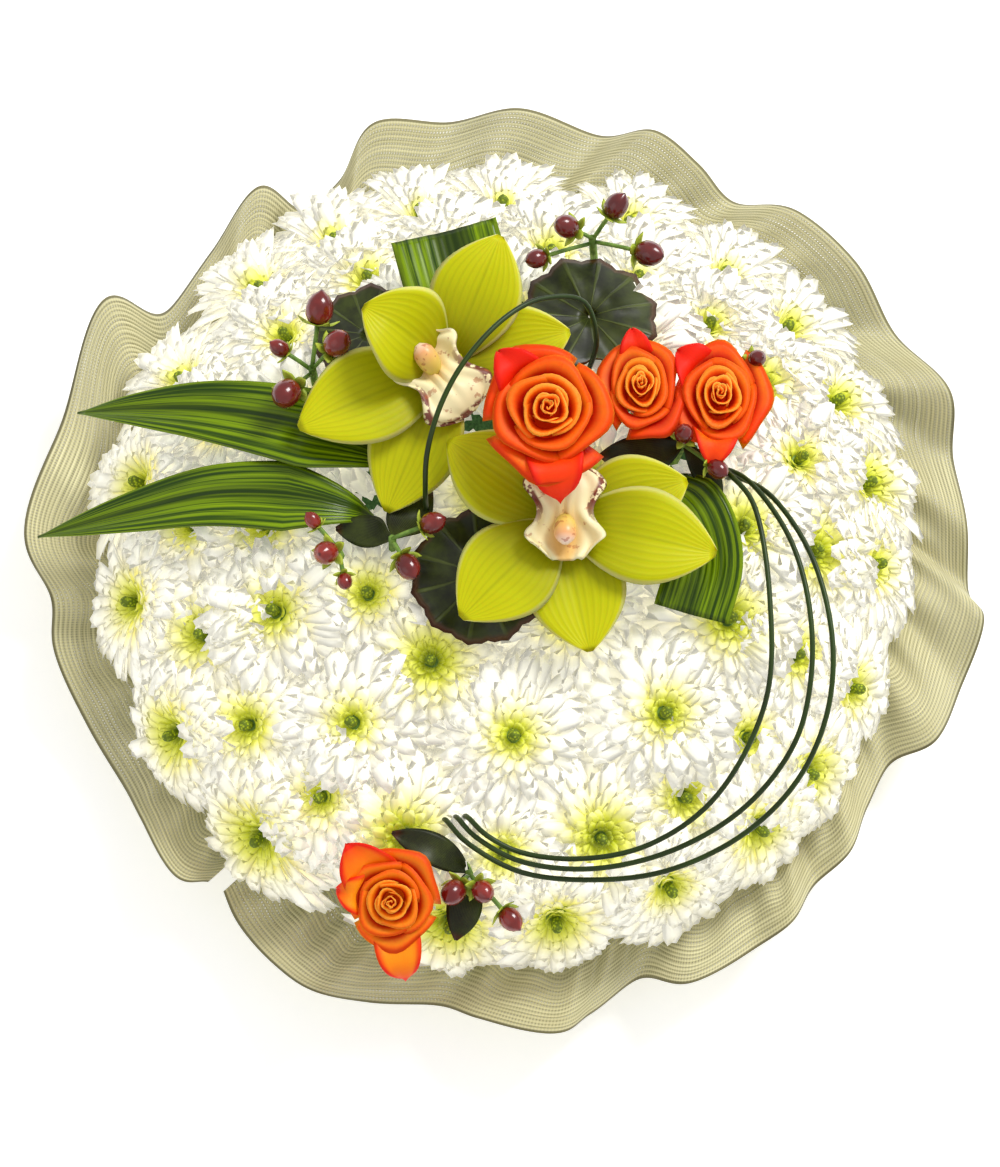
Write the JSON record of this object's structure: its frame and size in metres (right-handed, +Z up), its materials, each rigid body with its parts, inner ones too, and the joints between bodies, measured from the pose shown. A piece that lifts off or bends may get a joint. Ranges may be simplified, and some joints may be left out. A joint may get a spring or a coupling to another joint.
{
  "type": "sympathy posy",
  "caption": "Round sympathy posy: a dome of white double chrysanthemums in a gathered sage ribbon, topped with green orchids, orange roses, dark berries, leaves and loops of steel grass.",
  "frame": {"origin": "middle of the underside of the base disc", "axes": "+Z up from the ground through the dome of flowers; +Y towards the side where the larger spray lies, the top of the reference view; +X to the viewer's right"},
  "size_m": [0.3605, 0.3595, 0.1449],
  "materials": {
    "base": "matt",
    "foam": "matt, finely porous",
    "ribbon": "matt open weave",
    "white": "matt white petals",
    "orchid": "waxy yellow-green petals",
    "lip": "cream with maroon spots",
    "rose": "velvety orange petals",
    "stem": "matt green",
    "berry": "glossy dark red",
    "strap": "satin green leaf",
    "dark_leaf": "satin dark leaf",
    "grass": "satin dark green"
  },
  "bodies": {
    "root": {"base_disc": "base", "foam_pad": "foam", "ribbon_collar": "ribbon", "chrysanthemum_spray_01": "white", "chrysanthemum_spray_02": "white", "chrysanthemum_spray_03": "white", "chrysanthemum_spray_04": "white", "chrysanthemum_spray_05": "white", "chrysanthemum_spray_06": "white", "chrysanthemum_spray_07": "white", "chrysanthemum_spray_08": "white", "chrysanthemum_spray_09": "white", "chrysanthemum_spray_10": "white", "chrysanthemum_spray_11": "white", "chrysanthemum_spray_12": "white", "chrysanthemum_spray_13": "white", "chrysanthemum_spray_14": "white", "chrysanthemum_spray_15": "white", "chrysanthemum_spray_16": "white", "chrysanthemum_spray_17": "white", "chrysanthemum_spray_18": "white", "chrysanthemum_spray_19": "white", "chrysanthemum_spray_20": "white", "chrysanthemum_spray_21": "white", "chrysanthemum_spray_22": "white", "chrysanthemum_spray_23": "white", "chrysanthemum_spray_24": "white", "chrysanthemum_spray_25": "white", "chrysanthemum_spray_26": "white", "chrysanthemum_spray_27": "white", "orchid_1_petals": "orchid", "orchid_1_lip": "lip", "orchid_2_petals": "orchid", "orchid_2_lip": "lip", "rose_1_petals": "rose", "rose_1_calyx": "stem", "rose_2_petals": "rose", "rose_2_calyx": "stem", "rose_3_petals": "rose", "rose_3_calyx": "stem", "rose_4_petals": "rose", "rose_4_calyx": "stem", "berry_sprig_1": "berry", "berry_sprig_2": "berry", "berry_sprig_3": "berry", "berry_sprig_4": "berry", "berry_sprig_5": "berry", "berry_sprig_6": "berry", "berry_sprig_7": "berry", "strap_leaf_1": "strap", "strap_leaf_2": "strap", "cut_leaf_top": "strap", "cut_leaf_right": "strap", "round_leaf_top": "dark_leaf", "round_leaf_left": "dark_leaf", "round_leaf_bottom": "dark_leaf", "grass_loop_small": "grass", "grass_loop_1": "grass", "grass_loop_2": "grass", "grass_loop_3": "grass"}
  },
  "joints": []
}
